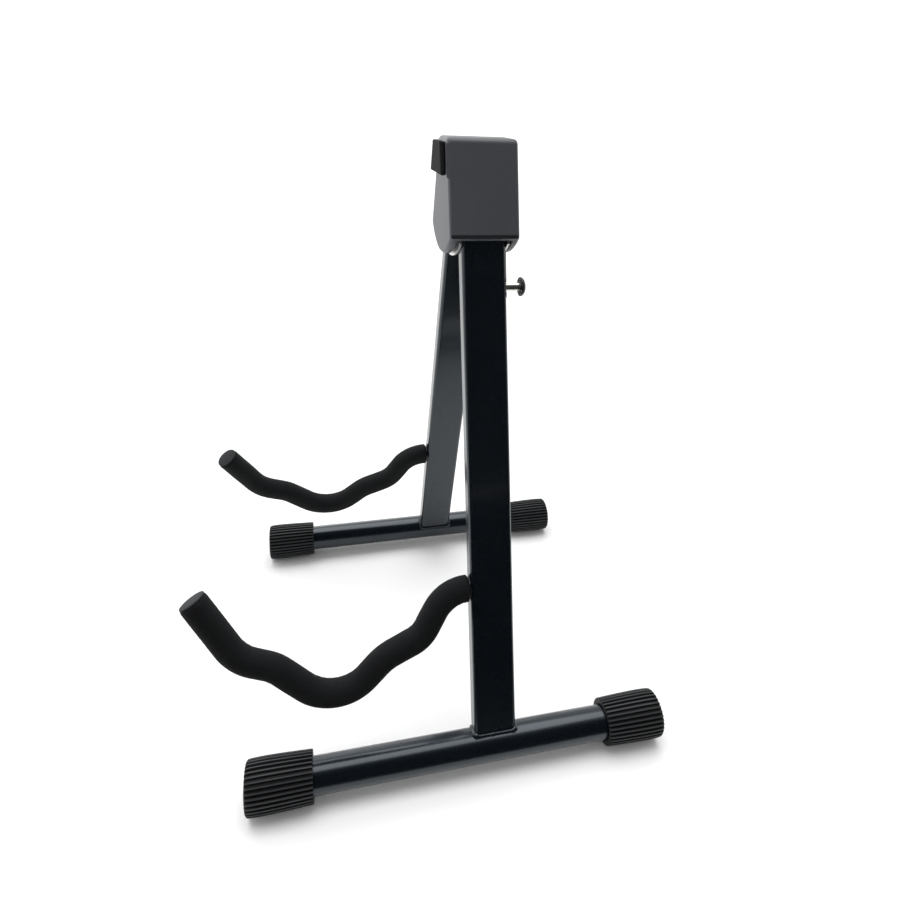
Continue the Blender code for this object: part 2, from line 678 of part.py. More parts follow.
# --------------------------------------------------------------- the pull pin
def lock_pin(frame):
    """Stepped pin, its guide, return spring, clip and mushroom knob."""
    axis = (0, -PIN_DROP)
    radius = PIN_DIAMETER / 2
    neck = radius - PIN_STEP
    back = LEG_WIDTH / 2
    inside = back - LEG_WALL
    knob_from = back + PIN_SHOW
    guide_from = inside - GAP - GUIDE_WALL
    neck_from = PLATE_IN - PIN_TRAVEL - GAP
    neck_to = PLATE_OUT - PIN_TRAVEL + GAP
    clip_at = -CLIP_THICK
    groove_to = clip_at + CLIP_THICK + 2 * GAP
    socket = knob_from + KNOB_DEPTH * KNOB_SOCKET
    turned("lock_pin", [
        (radius - CLIP_THICK, clip_at - 3 * CLIP_THICK),
        (radius, clip_at - 2 * CLIP_THICK),
        (radius, clip_at),
        (neck, clip_at),
        (neck, groove_to),
        (radius, groove_to),
        (radius, neck_from),
        (neck, neck_from),
        (neck, neck_to),
        (radius, neck_to),
        (radius, socket),
    ], frame, "nickel_steel", axis, 18)

    knob = radius + KNOB_RIM
    turned("lock_knob", [(radius + GAP, socket + GAP), (radius + GAP, knob_from)]
           + [(knob * share, knob_from + KNOB_DEPTH * along) for share, along in KNOB_PROFILE],
           frame, "black_plastic", axis, 24)

    sleeve = radius + GAP + GUIDE_WALL
    turned("pin_guide", [
        (radius + GAP, guide_from),
        (sleeve + GUIDE_LIP, guide_from),
        (sleeve + GUIDE_LIP, inside - GAP - GUIDE_LIP),
        (sleeve, inside - GAP),
        (sleeve, back - GAP),
        (radius + GAP, back - GAP),
    ], frame.parent, "zinc_steel", axis, 24, solid=False)

    helix("lock_spring", radius + GAP + SPRING_WIRE / 2, SPRING_WIRE,
          groove_to, guide_from - GAP, SPRING_TURNS, frame.parent, "zinc_steel")
    spring_clip(frame, neck + GAP, sleeve, clip_at + GAP)
    return sleeve + GAP


def spring_clip(frame, inner, outer, y_from):
    """Open clip in the pin's groove; the spring pushes on it."""
    opening = math.radians(40)
    ring = (arc((0, -PIN_DROP), outer, opening, 2 * math.pi - opening, 20)
            + arc((0, -PIN_DROP), inner, 2 * math.pi - opening, opening, 20))
    extruded("spring_clip", ring, y_from, y_from + CLIP_THICK, frame, "zinc_steel")


# ------------------------------------------------------------------- assembly
def empty_at(name, location, turn, parent=None):
    """Frame for a piece or a joint, turned about Y."""
    empty = bpy.data.objects.new(name, None)
    bpy.context.scene.collection.objects.link(empty)
    empty.location = location
    empty.rotation_euler = (0, turn, 0)
    empty.parent = parent
    return empty


def build():
    for item in list(bpy.data.objects):
        bpy.data.objects.remove(item, do_unlink=True)

    head = empty_at("head_frame", (0, SHIFT_Y, PIVOT_Z), 0)
    fixed = empty_at("fixed_leg_frame", (-PIVOT_X, 0, 0), LEG_LEAN, head)
    folding = empty_at("fold_axis", (PIVOT_X, 0, 0), -LEG_LEAN, head)
    pull = empty_at("pull_axis", (0, 0, 0), 0, folding)

    head_cover(head)
    rest_pad(head)
    front_hinge_plate(head)
    rear_hinge_plate(head)
    for label, place in bolt_places().items():
        hinge_bolt(label, place, head)
    for label, x in cover_screw_places().items():
        cover_screw(label, x, head)

    for prefix, side, frame, bolts in (
        ("fixed", -1, fixed, (0, CLAMP_PITCH)),
        ("folding", 1, folding, (0,)),
    ):
        tube = leg(prefix + "_leg", side, bolts, frame)
        leg_insert(prefix + "_leg_insert", bolts, frame)
        foot(prefix, side, frame)
        arm(prefix, frame)
        if side > 0:
            guide_reach = lock_pin(pull)
            combine(tube, rod("pin_guide_hole", guide_reach, 0, LEG_WIDTH, frame,
                              (0, -PIN_DROP), 24))


build()
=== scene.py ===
"""Looks for a folding A-frame instrument stand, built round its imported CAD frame.

Metres, +Z up, the cradle arms point to -Y and the folding leg is on the +X side.
"""

import json
import math

import bmesh
import bpy
from bpy.props import FloatProperty, FloatVectorProperty, IntProperty, PointerProperty
from mathutils import Matrix, Vector, noise


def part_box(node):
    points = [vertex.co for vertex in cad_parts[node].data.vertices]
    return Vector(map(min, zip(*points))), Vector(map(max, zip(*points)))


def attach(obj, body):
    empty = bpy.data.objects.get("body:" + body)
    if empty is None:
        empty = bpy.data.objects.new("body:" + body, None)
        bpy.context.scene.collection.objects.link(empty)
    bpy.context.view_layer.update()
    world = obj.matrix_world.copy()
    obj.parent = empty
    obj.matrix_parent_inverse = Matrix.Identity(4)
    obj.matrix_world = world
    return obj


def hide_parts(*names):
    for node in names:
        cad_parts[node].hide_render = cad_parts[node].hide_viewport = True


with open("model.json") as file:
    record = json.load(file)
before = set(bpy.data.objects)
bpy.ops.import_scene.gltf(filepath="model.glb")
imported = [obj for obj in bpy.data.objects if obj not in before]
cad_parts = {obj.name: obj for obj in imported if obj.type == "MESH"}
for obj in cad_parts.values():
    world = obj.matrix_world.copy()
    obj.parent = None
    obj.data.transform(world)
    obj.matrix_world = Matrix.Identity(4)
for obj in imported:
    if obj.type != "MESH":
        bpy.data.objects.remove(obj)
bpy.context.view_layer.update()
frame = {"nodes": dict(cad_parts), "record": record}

bl_info = {
    "name": "Folding Instrument Stand",
    "version": (1, 0, 0),
    "blender": (4, 5, 0),
    "location": "3D View > Sidebar > Stand",
    "description": "Builds the visible pieces, finishes and studio of a folding instrument stand",
    "category": "Object",
}

# ------------------------------------------------------------ places in the frame
BEHAVIOUR = frame["record"]["behaviour"]
BODY_OF = {node: body for body, nodes in BEHAVIOUR["bodies"].items() for node in nodes}
SLOT_OF = {part["node"]: part["material_slot"] for part in frame["record"]["subparts"]}
FOLD = next(joint for joint in BEHAVIOUR["joints"] if joint["name"] == "leg_fold")
PIVOT = Vector(FOLD["pos_m"])
LEAN = math.radians(FOLD["range_deg"][1] / 2)
SIDES = (("fixed", -1), ("folding", 1))

LEG_WIDTH = 0.030
LEG_THICK = 0.014
LEG_CORNER = 0.0030                # bead's corner radius round the leg's tube
SIDE_DROP = 0.0120                 # head's side walls end below the pivot
TUBE_WALL = 0.0015
TUBE_RIM = 0.0003                  # easing on the foot tube's ends
ARM_DROP = 0.2545                  # pivot down to the arm's root, along the leg
ROD_RADIUS = 0.0060
ROD_ROOT = 0.0080                  # rod inside the leg
ROD_STEP = 0.0020                  # between the rod's rings
FOAM_RADIUS = 0.0092
FOAM_BORE = 0.0063                 # radius of the hole for the rod
FOAM_START = 0.0008                # bare rod beside the leg
FOAM_STEP = 0.0016                 # between the sleeve's rings
FOAM_RIM = 0.0011                  # rounding of the sleeve's cut ends
PLUG_DEPTH = 0.0100
PLUG_FLANGE = 0.0010
WELD_STEP = 0.0007                 # between the foot bead's rings
WELD_RIPPLE = 0.0021               # length of one ripple in the foot bead
RIB_POINTS = 8                     # points across one rib of a cap
GAP = 0.0003                       # between pieces that touch

CAMERA_LENS = 25.05                # mm
CAMERA_SHIFT = (-0.0208, -0.1027)
CAMERA_X = 0.4267
CAMERA_FROM_PIVOT = (-0.1041, 0.0660)    # along Y and Z
CAMERA_TURNS = ((76.24, "Z"), (68.34, "X"), (2.46, "Z"))    # degrees
DARK_CARD = (0.97, -0.05, 0.20)    # direction from the stand to each card in the room
BRIGHT_CARD = (-0.94, -0.32, 0.08)

# Arm centreline: run forward of the leg's face, rise along the leg, bend radius.
ARM_RUN = (
    (0.0000, 0.0000, 0.0),
    (0.0166, 0.0000, 0.026),
    (0.0342, -0.0301, 0.0235),
    (0.0600, -0.0410, 0.038),
    (0.0925, -0.0714, 0.0305),
    (0.1317, -0.0366, 0.0308),
    (0.1544, -0.0274, 0.030),
    (0.1794, 0.0154, 0.0),
)

# Knob outline: share of its radius, share of its depth outward from the flange.
KNOB_OUTLINE = (
    (0.45, 0.58), (0.45, 0.02), (0.52, -0.01), (0.60, 0.03), (0.70, 0.09), (0.80, 0.05),
    (0.89, -0.05), (0.945, -0.09), (0.98, -0.05), (1.00, 0.06), (0.99, 0.18), (0.95, 0.36),
    (0.87, 0.53), (0.76, 0.69), (0.62, 0.81), (0.46, 0.90), (0.28, 0.965), (0.12, 0.995),
)


# ------------------------------------------------------------------- shader maths
class Flow:
    """A number that changes over a surface. Python sums on it add Math nodes."""

    def __init__(self, finish, socket):
        self.finish = finish
        self.socket = socket

    def math(self, operation, *values):
        return self.finish.node("ShaderNodeMath", {"operation": operation},
                                dict(enumerate(values)))

    def __add__(self, other):
        return self.math("ADD", self, other)

    __radd__ = __add__

    def __sub__(self, other):
        return self.math("SUBTRACT", self, other)

    def __rsub__(self, other):
        return self.math("SUBTRACT", other, self)

    def __mul__(self, other):
        return self.math("MULTIPLY", self, other)

    def between(self, low, high):
        """0 at low, 1 at high, with a smooth step from one to the other."""
        return self.finish.node(
            "ShaderNodeMapRange", {"interpolation_type": "SMOOTHSTEP"},
            {"Value": self, "From Min": low, "From Max": high})


class Finish:
    """A material or a world being made, with one method for every kind of node."""

    def __init__(self, owner, shader="Principled BSDF", **settings):
        self.owner = owner
        owner.use_nodes = True
        self.tree = owner.node_tree
        self.shader = self.tree.nodes[shader]
        for socket, value in settings.items():
            self.feed(self.shader, socket.replace("_", " ").title().replace("Ior", "IOR"), value)

    @classmethod
    def of_material(cls, name, **settings):
        return cls(bpy.data.materials.new(name), **settings)

    def feed(self, node, socket, value):
        target = node.inputs[socket]
        if isinstance(value, Flow):
            self.tree.links.new(value.socket, target)
        elif isinstance(value, tuple) and len(value) == 3 and target.type == "RGBA":
            target.default_value = (*value, 1.0)
        else:
            target.default_value = value

    def node(self, kind, settings=None, inputs=None, output=0):
        """A node with its settings made first, then its values and links."""
        node = self.tree.nodes.new(kind)
        for name, value in (settings or {}).items():
            setattr(node, name, value)
        for socket, value in (inputs or {}).items():
            self.feed(node, socket, value)
        return Flow(self, node.outputs[output])

    def place(self):
        """Where a point of the surface is on its own piece, in metres."""
        return self.node("ShaderNodeTexCoord", output="Object")

    def facing(self, axis):
        """How far the surface faces along X, Y or Z."""
        normal = self.node("ShaderNodeTexCoord", output="Normal")
        return self.node("ShaderNodeSeparateXYZ", inputs={0: normal}, output=axis)

    def grain(self, size, detail=2.0, roughness=0.5, stretch=(1, 1, 1)):
        """Soft random pattern with features of about this size."""
        place = self.node("ShaderNodeVectorMath", {"operation": "MULTIPLY"},
                          {0: self.place(), 1: stretch})
        return self.node("ShaderNodeTexNoise", inputs={
            "Vector": place, "Scale": 1 / size, "Detail": detail, "Roughness": roughness})

    def cells(self, size):
        """Distance to the nearest of many scattered points."""
        return self.node("ShaderNodeTexVoronoi", inputs={
            "Vector": self.place(), "Scale": 1 / size})

    def blend(self, share, first, second):
        """Colour from first to second as share goes from 0 to 1."""
        return self.node("ShaderNodeMix", {"data_type": "RGBA"},
                         {0: share, 6: first, 7: second}, output=2)

    def round_axis(self, x, z, count):
        """Wave that peaks this many times round a line along Y, first straight down."""
        parts = [self.node("ShaderNodeSeparateXYZ", inputs={0: self.place()}, output=axis)
                 for axis in (0, 2)]
        angle = (parts[1] - z).math("ARCTAN2", parts[1] - z, parts[0] - x)
        return angle.math("COSINE", (angle + math.pi / 2) * count)

    def surface(self, colour, roughness=None, height=None, depth=0.0, strength=1.0):
        """Connect what changes over the surface, and give back the material."""
        self.feed(self.shader, "Base Color", colour)
        if roughness is not None:
            self.feed(self.shader, "Roughness", roughness)
        if height is not None:
            bump = self.node("ShaderNodeBump", inputs={
                "Strength": strength, "Distance": depth, "Height": height})
            self.feed(self.shader, "Normal", bump)
        return self.owner


def shade(colour, factor):
    return tuple(channel * factor for channel in colour)


def powder_coat(colour):
    """Satin black powder coat: faint orange peel, dust specks and handling smears."""
    finish = Finish.of_material("satin_powder_coat", specular_ior_level=0.46,
                                specular_tint=(0.76, 0.89, 1.0), coat_weight=0.30,
                                coat_roughness=0.09)
    smear = finish.grain(0.060, 3.0)
    speck = finish.grain(0.0011, 1.0).between(0.73, 0.80) * finish.grain(0.03).between(0.45, 0.7)
    tone = finish.blend(smear, shade(colour, 0.75), shade(colour, 1.25))
    tone = finish.blend(speck * 0.35, tone, (0.060, 0.060, 0.060))
    peel = finish.grain(0.0018, 2.0)
    return finish.surface(tone, 0.22 + smear * 0.10 + speck * 0.25, peel, 0.00005, 0.25)


def moulded_cover(colour, hem):
    """Charcoal moulding: spark-eroded grain, flow marks, scuffs, and painted shade along the side
    walls' lower hem.
    """
    finish = Finish.of_material("charcoal_moulding", specular_ior_level=0.5)
    flow = finish.grain(0.050, 3.0, 0.6, (1.0, 1.0, 0.35))
    scuff = finish.grain(0.007, 4.0, 0.7, (1.0, 1.0, 2.5)).between(0.62, 0.78)
    tone = finish.blend(flow, shade(colour, 0.84), shade(colour, 1.16))
    tone = finish.blend(scuff * 0.10, tone, (0.120, 0.120, 0.125))
    # painted shade: on the side walls, the colour goes almost to black in the 2 mm above their
    # lower edge, standing in for the shade in the recessed step there
    above = finish.node("ShaderNodeSeparateXYZ", inputs={0: finish.place()}, output=2) - hem
    sideways = finish.facing(0)
    shade_line = (sideways * sideways).between(0.5, 0.8) * (1 - above.between(0.0020, 0.0026))
    tone = finish.blend(shade_line * 0.85, tone, (0.002, 0.002, 0.003))
    spark = finish.grain(0.00055, 2.0, 0.6)
    return finish.surface(tone, 0.42 + flow * 0.08 + scuff * 0.06, spark, 0.00005, 0.6)


def cap_rubber(name, x, z, ribs, colour):
    """Black rubber: painted shade darkens the grooves, which leaves the ribs' crests lighter; the
    crests are also rubbed smoother.
    """
    finish = Finish.of_material(name, specular_ior_level=0.4)
    crest_rub_and_groove_shade = finish.round_axis(x, z, ribs).between(0.1, 1.0)
    bloom = finish.grain(0.012, 4.0, 0.6)
    # painted shade: the grooves between the ribs take 2 % of the rubber's colour, while the crests
    # keep its full tone
    tone = finish.blend(crest_rub_and_groove_shade, shade(colour, 0.02), finish.blend(
        bloom, shade(colour, 0.8), shade(colour, 1.4)))
    grit = finish.grain(0.0006, 3.0, 0.6)
    return finish.surface(tone, 0.62 + bloom * 0.10 - crest_rub_and_groove_shade * 0.16, grit, 0.00006, 0.5)


def pad_rubber(colour):
    """Rest pad's dark rubber, with a fine pebble and a dusty film."""
    finish = Finish.of_material("rest_pad_rubber", specular_ior_level=0.08)
    film = finish.grain(0.010, 3.0, 0.6)
    pebble = finish.cells(0.0010)
    tone = finish.blend(film, shade(colour, 0.8), shade(colour, 1.35))
    return finish.surface(tone, 0.70 + film * 0.16, pebble, 0.00010, 0.5)


def foam_skin(colour):
    """Closed-cell foam: open pores with painted shade in them, soft mottling and a faint nap."""
    finish = Finish.of_material("black_cell_foam", specular_ior_level=0.22)
    mottle = finish.grain(0.006, 4.0, 0.65)
    pore_and_pore_shade = finish.cells(0.00055).between(0.10, 0.55)
    tone = finish.blend(mottle, shade(colour, 0.75), shade(colour, 1.4))
    # painted shade: the foam is darkened to 45 % of its colour inside the pores, where the bump
    # sinks them
    tone = finish.blend(1 - pore_and_pore_shade, tone, shade(colour, 0.45))
    return finish.surface(tone, 0.74 + mottle * 0.16, pore_and_pore_shade + mottle * 0.8, 0.00016, 0.75)


def gloss_plastic(name, colour, roughness, shine):
    """Smooth moulded plastic with hairline handling marks."""
    finish = Finish.of_material(name, specular_ior_level=shine)
    mark = finish.grain(0.004, 4.0, 0.7, (1.0, 3.0, 1.0)).between(0.55, 0.75)
    tone = finish.blend(mark, colour, shade(colour, 1.5))
    ripple = finish.grain(0.0015)
    return finish.surface(tone, roughness + mark * 0.12, ripple, 0.00004, 0.3)


def natural_plastic():
    """Unpigmented plastic insert with faint sink marks."""
    finish = Finish.of_material("natural_insert_plastic", subsurface_weight=0.08)
    cloud = finish.grain(0.006, 3.0)
    tone = finish.blend(cloud, (0.56, 0.54, 0.48), (0.66, 0.65, 0.60))
    return finish.surface(tone, 0.42 + cloud * 0.15, cloud, 0.0002, 0.4)


def zinc_plate():
    """Bright zinc plate: spangle, a blue and straw tint, rolled lines."""
    finish = Finish.of_material("bright_zinc", metallic=1.0)
    spangle = finish.cells(0.0016)
    tint = finish.grain(0.010, 3.0, 0.6)
    tone = finish.blend(tint.between(0.3, 0.7), (0.58, 0.60, 0.62), (0.66, 0.63, 0.55))
    lines = finish.grain(0.004, 3.0, 0.6, (1.0, 1.0, 14.0))
    return finish.surface(tone, 0.24 + spangle * 0.10 + lines * 0.10, lines, 0.00005, 0.4)


def nickel_plate():
    """Bright nickel with fine turning rings and a few dull rub marks."""
    finish = Finish.of_material("bright_nickel", metallic=1.0)
    rings = finish.grain(0.0020, 2.0, 0.5, (0.05, 9.0, 0.05))
    rub = finish.grain(0.003, 4.0, 0.7).between(0.5, 0.75)
    tone = finish.blend(rub, (0.74, 0.73, 0.68), (0.60, 0.59, 0.55))
    return finish.surface(tone, 0.28 + rings * 0.08 + rub * 0.16, rings, 0.00003, 0.4)


# ------------------------------------------------------------------ mesh making
def add_piece(name, mesh_code, material, body, node=None, sharp=35.0):
    """A bmesh as a piece that rides on a body and may stand for a CAD node."""
    bmesh.ops.recalc_face_normals(mesh_code, faces=mesh_code.faces)
    mesh = bpy.data.meshes.new(name)
    mesh_code.to_mesh(mesh)
    mesh_code.free()
    mesh.shade_smooth()
    mesh.set_sharp_from_angle(angle=math.radians(sharp))
    mesh.materials.append(material)
    item = bpy.data.objects.new(name, mesh)
    bpy.context.scene.collection.objects.link(item)
    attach(item, body)
    if node:
        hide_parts(node)
    return item


def for_node(node, mesh_code, material, sharp=35.0):
    """A piece that stands for a CAD node."""
    return add_piece(node + "_form", mesh_code, material, BODY_OF[node],
                     node, sharp)


def bridge_rings(mesh_code, rings, closed=False):
    """Quads between neighbouring rings, with end faces where the run is open."""
    pairs = list(zip(rings, rings[1:]))
    if closed:
        pairs.append((rings[-1], rings[0]))
    for first, second in pairs:
        for index in range(len(first)):
            after = (index + 1) % len(first)
            mesh_code.faces.new((first[index], first[after], second[after], second[index]))
    if not closed:
        mesh_code.faces.new(rings[0])
        mesh_code.faces.new(rings[-1][::-1])


def turned(profile, x, z, segments=64, closed=False):
    """Round form about a line along Y, from (radius, y) points."""
    mesh_code = bmesh.new()
    rings = [
        [mesh_code.verts.new((x + radius * math.cos(2 * math.pi * turn / segments), y,
                              z + radius * math.sin(2 * math.pi * turn / segments)))
         for turn in range(segments)]
        for radius, y in profile
    ]
    bridge_rings(mesh_code, rings, closed)
    return mesh_code


def refined(node, material, edge):
    """A CAD node's own form with its facets merged and its edges eased."""
    mesh_code = bmesh.new()
    mesh_code.from_mesh(frame["nodes"][node].data)
    bmesh.ops.remove_doubles(mesh_code, verts=mesh_code.verts, dist=GAP / 100)
    bmesh.ops.dissolve_limit(mesh_code, angle_limit=math.radians(0.5),
                             verts=mesh_code.verts, edges=mesh_code.edges)
    item = for_node(node, mesh_code, material)
    ease = item.modifiers.new("eased_edges", "BEVEL")
    ease.width = edge
    ease.segments = 2
    ease.limit_method = "ANGLE"
    ease.angle_limit = math.radians(40)
    ease.miter_outer = "MITER_ARC"
    flat = item.modifiers.new("flat_faces", "WEIGHTED_NORMAL")
    flat.keep_sharp = True
    return item


def leg_axes(side):
    """Places a form drawn on a leg: Z along the leg, origin on its pivot."""
    return (Matrix.Translation((side * PIVOT.x, PIVOT.y, PIVOT.z))
            @ Matrix.Rotation(-side * LEAN, 4, "Y"))


def arm_path(spacing):
    """Arm centreline as (run, rise) points, with its bends rounded."""
    points = [Vector(ARM_RUN[0][:2])]
    for before, corner, after in zip(ARM_RUN, ARM_RUN[1:], ARM_RUN[2:]):
        here = Vector(corner[:2])
        back = (Vector(before[:2]) - here).normalized()
        ahead = (Vector(after[:2]) - here).normalized()
        half = back.angle(ahead) / 2
        radius = corner[2]
        centre = here + (back + ahead).normalized() * radius / math.sin(half)
        start = here + back * radius / math.tan(half) - centre
        sweep = start.angle_signed(here + ahead * radius / math.tan(half) - centre)
        steps = max(3, round(abs(sweep) * radius / spacing))
        for step in range(steps + 1):
            points.append(centre + Matrix.Rotation(-sweep * step / steps, 2) @ start)
    points.append(Vector(ARM_RUN[-1][:2]))
    return points


def even_path(points, spacing):
    """The same line, with its points evenly spaced."""
    lengths = [0.0]
    for first, second in zip(points, points[1:]):
        lengths.append(lengths[-1] + (second - first).length)
    count = round(lengths[-1] / spacing)
    even = []
    index = 0
    for step in range(count + 1):
        mark = lengths[-1] * step / count
        while index < len(points) - 2 and lengths[index + 1] < mark:
            index += 1
        span = lengths[index + 1] - lengths[index]
        share = (mark - lengths[index]) / span if span > 0 else 0.0
        even.append(points[index].lerp(points[index + 1], min(1.0, share)))
    return even


def arm_rings(mesh_code, side, path, radius_at, sides):
    """Rings across an arm; radius_at takes a point's index and the turn round it."""
    axes = leg_axes(side)
    rings = []
    for index, place in enumerate(path):
        before, after = path[max(index - 1, 0)], path[min(index + 1, len(path) - 1)]
        ahead = (after - before).normalized()
        normal = Vector((-ahead.y, ahead.x))
        ring = []
        for turn in range(sides):
            angle = 2 * math.pi * turn / sides
            radius = radius_at(index, angle)
            point = place + normal * radius * math.sin(angle)
            ring.append(mesh_code.verts.new(axes @ Vector(
                (radius * math.cos(angle), -LEG_WIDTH / 2 - point.x, point.y - ARM_DROP))))
        rings.append(ring)
    return rings


def bead(points, radius_at, sides=10):
    """Closed weld bead along a loop of points."""
    mesh_code = bmesh.new()
    count = len(points)
    rings = []
    for index, place in enumerate(points):
        ahead = (points[(index + 1) % count] - points[index - 1]).normalized()
        outward = ahead.cross(Vector((0, 0, 1)))
        if outward.length < 0.2:
            outward = ahead.cross(Vector((0, 1, 0)))
        outward.normalize()
        lift = outward.cross(ahead)
        radius = radius_at(index)
        rings.append([
            mesh_code.verts.new(place + outward * radius * math.cos(2 * math.pi * turn / sides)
                                + lift * radius * math.sin(2 * math.pi * turn / sides))
            for turn in range(sides)
        ])
    bridge_rings(mesh_code, rings, closed=True)
    return mesh_code


# ---------------------------------------------------------------- what can change
class StandPaint(bpy.types.PropertyGroup):
    """Painted steel and its welds."""

    colour: FloatVectorProperty(
        name="Paint", description="Colour of the powder coat", subtype="COLOR",
        default=(0.0022, 0.0038, 0.0062), min=0.0, max=1.0)
    weld_radius: FloatProperty(
        name="Weld", description="Radius of the weld beads", default=0.0014,
        min=0.0003, max=0.003, unit="LENGTH", subtype="DISTANCE")


class StandHead(bpy.types.PropertyGroup):
    """Moulded head and its rest pad."""

    colour: FloatVectorProperty(
        name="Cover", description="Colour of the head's moulding", subtype="COLOR",
        default=(0.050, 0.053, 0.062), min=0.0, max=1.0)
    pad_colour: FloatVectorProperty(
        name="Pad", description="Colour of the rest pad's rubber", subtype="COLOR",
        default=(0.011, 0.011, 0.012), min=0.0, max=1.0)
    edge: FloatProperty(
        name="Edge", description="Rounding of the cover's inner edges", default=0.0003,
        min=0.0, max=0.001, unit="LENGTH", subtype="DISTANCE")


class StandCaps(bpy.types.PropertyGroup):
    """Ribbed rubber end caps."""

    colour: FloatVectorProperty(
        name="Rubber", description="Colour of the caps' rubber", subtype="COLOR",
        default=(0.0240, 0.0275, 0.0310), min=0.0, max=1.0)
    ribs: IntProperty(
        name="Ribs", description="Ribs round each cap", default=33, min=12, max=60)
    rib_depth: FloatProperty(
        name="Rib Depth", description="Depth of the grooves between the ribs",
        default=0.0016, min=0.0002, max=0.002, unit="LENGTH", subtype="DISTANCE")
    barrel: FloatProperty(
        name="Barrel", description="How far the radius falls towards the mouth",
        default=0.0010, min=0.0, max=0.003, unit="LENGTH", subtype="DISTANCE")


class StandFoam(bpy.types.PropertyGroup):
    """Foam sleeves on the cradle arms."""

    colour: FloatVectorProperty(
        name="Foam", description="Colour of the foam", subtype="COLOR",
        default=(0.0038, 0.0045, 0.0054), min=0.0, max=1.0)
    softness: FloatProperty(
        name="Softness", description="Unevenness of the foam's surface", default=0.00016,
        min=0.0, max=0.001, unit="LENGTH", subtype="DISTANCE")
    crease: FloatProperty(
        name="Crease", description="Depth of the creases inside the bends", default=0.00022,
        min=0.0, max=0.001, unit="LENGTH", subtype="DISTANCE")


class StandStage(bpy.types.PropertyGroup):
    """Floor, light and camera."""

    floor_colour: FloatVectorProperty(
        name="Floor", description="Colour of the floor", subtype="COLOR",
        default=(0.93, 0.93, 0.93), min=0.0, max=1.0)
    backdrop: FloatProperty(
        name="Backdrop", description="Brightness of the room behind the stand", default=1.02,
        min=0.0, max=2.0)
    fill: FloatProperty(
        name="Fill", description="Brightness of the room as a light", default=0.84,
        min=0.0, max=2.0)
    key_power: FloatProperty(
        name="Key Light", description="Power of the soft light in front", default=4.0,
        min=0.0, max=200.0, unit="POWER")
    top_power: FloatProperty(
        name="Top Light", description="Strength of the wide light overhead", default=2.2,
        min=0.0, max=20.0)


# ---------------------------------------------------------------------- operators
class STAND_OT_painted_tubes(bpy.types.Operator):
    """Make the legs, foot tubes and cradle rods in satin powder coat"""

    bl_idname = "stand.painted_tubes"
    bl_label = "Painted Tubes"

    def execute(self, context):
        paint = powder_coat(tuple(context.scene.stand_paint.colour))
        for prefix, side in SIDES:
            refined(prefix + "_leg", paint, 0.0004)
            low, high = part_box(prefix + "_foot_tube")
            centre = (low + high) / 2
            radius = (high.z - low.z) / 2
            inner = radius - TUBE_WALL
            for_node(prefix + "_foot_tube", turned([
                (inner, low.y), (radius - TUBE_RIM, low.y), (radius, low.y + TUBE_RIM),
                (radius, centre.y), (radius, high.y - TUBE_RIM), (radius - TUBE_RIM, high.y),
                (inner, high.y),
            ], centre.x, centre.z, 96, closed=True), paint)

            path = even_path(arm_path(ROD_STEP), ROD_STEP)
            path = path[:len(path) - round(PLUG_DEPTH / ROD_STEP)]
            bar = bmesh.new()
            bridge_rings(bar, arm_rings(bar, side, [Vector((-ROD_ROOT, 0))] + path,
                                        lambda index, angle: ROD_RADIUS, 32))
            for_node(prefix + "_cradle_rod", bar, paint)
        return {"FINISHED"}


class STAND_OT_welds(bpy.types.Operator):
    """Make the weld beads at the legs' feet and at the cradle rods' roots"""

    bl_idname = "stand.welds"
    bl_label = "Welds"

    def execute(self, context):
        settings = context.scene.stand_paint
        paint = bpy.data.materials["satin_powder_coat"]
        for prefix, side in SIDES:
            body = BODY_OF[prefix + "_leg"]
            add_piece(prefix + "_foot_weld", self.foot_bead(prefix, side, settings.weld_radius),
                      paint, body, sharp=60)
            add_piece(prefix + "_arm_weld", self.arm_bead(side, settings.weld_radius / 2),
                      paint, body, sharp=60)
        return {"FINISHED"}

    @staticmethod
    def foot_bead(prefix, side, radius):
        """Bead along the line where the leg's tube meets the round foot tube."""
        low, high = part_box(prefix + "_foot_tube")
        foot = (low + high) / 2
        reach = (high.z - low.z) / 2
        axes = leg_axes(side)
        local = axes.inverted() @ foot
        half_x, half_y, corner = LEG_THICK / 2, LEG_WIDTH / 2, LEG_CORNER
        outline = []
        for quarter, (sx, sy) in enumerate(((1, 1), (-1, 1), (-1, -1), (1, -1))):
            for step in range(7):
                angle = math.pi / 2 * (quarter + step / 6)
                outline.append(Vector((sx * (half_x - corner) + corner * math.cos(angle),
                                       sy * (half_y - corner) + corner * math.sin(angle))))
        outline.append(outline[0])
        loop = even_path(outline, WELD_STEP)[:-1]
        points = []
        for point in loop:
            across = point.x - local.x
            rise = math.sqrt(max(reach * reach - across * across, 0.0))
            points.append(axes @ Vector((point.x, point.y, local.z + rise)))
        lumps = ((0.9, Vector((half_x, -side * half_y))), (0.5, Vector((half_x, side * half_y))))
        lump_reach = 0.0030

        def radius_at(index):
            ripple = 0.14 * math.sin(2 * math.pi * index * WELD_STEP / WELD_RIPPLE)
            wander = 0.18 * noise.noise(Vector((index * 0.21, side, 0)))
            lump = sum(size * math.exp(-((loop[index] - place).length / lump_reach) ** 2)
                       for size, place in lumps)
            return radius * (1.0 + ripple + wander + lump)

        return bead(points, radius_at)

    @staticmethod
    def arm_bead(side, radius):
        """Bead round the cradle rod where it enters the leg."""
        axes = leg_axes(side)
        count = 72
        reach = ROD_RADIUS + radius * 0.45
        points = [
            axes @ Vector((reach * math.cos(2 * math.pi * turn / count),
                           -LEG_WIDTH / 2 - radius * 0.15,
                           reach * math.sin(2 * math.pi * turn / count) - ARM_DROP))
            for turn in range(count)
        ]
        return bead(points, lambda index: radius * (
            1.0 + 0.10 * math.sin(2 * math.pi * index / 4)
            + 0.15 * noise.noise(Vector((index * 0.2, side, 4)))))


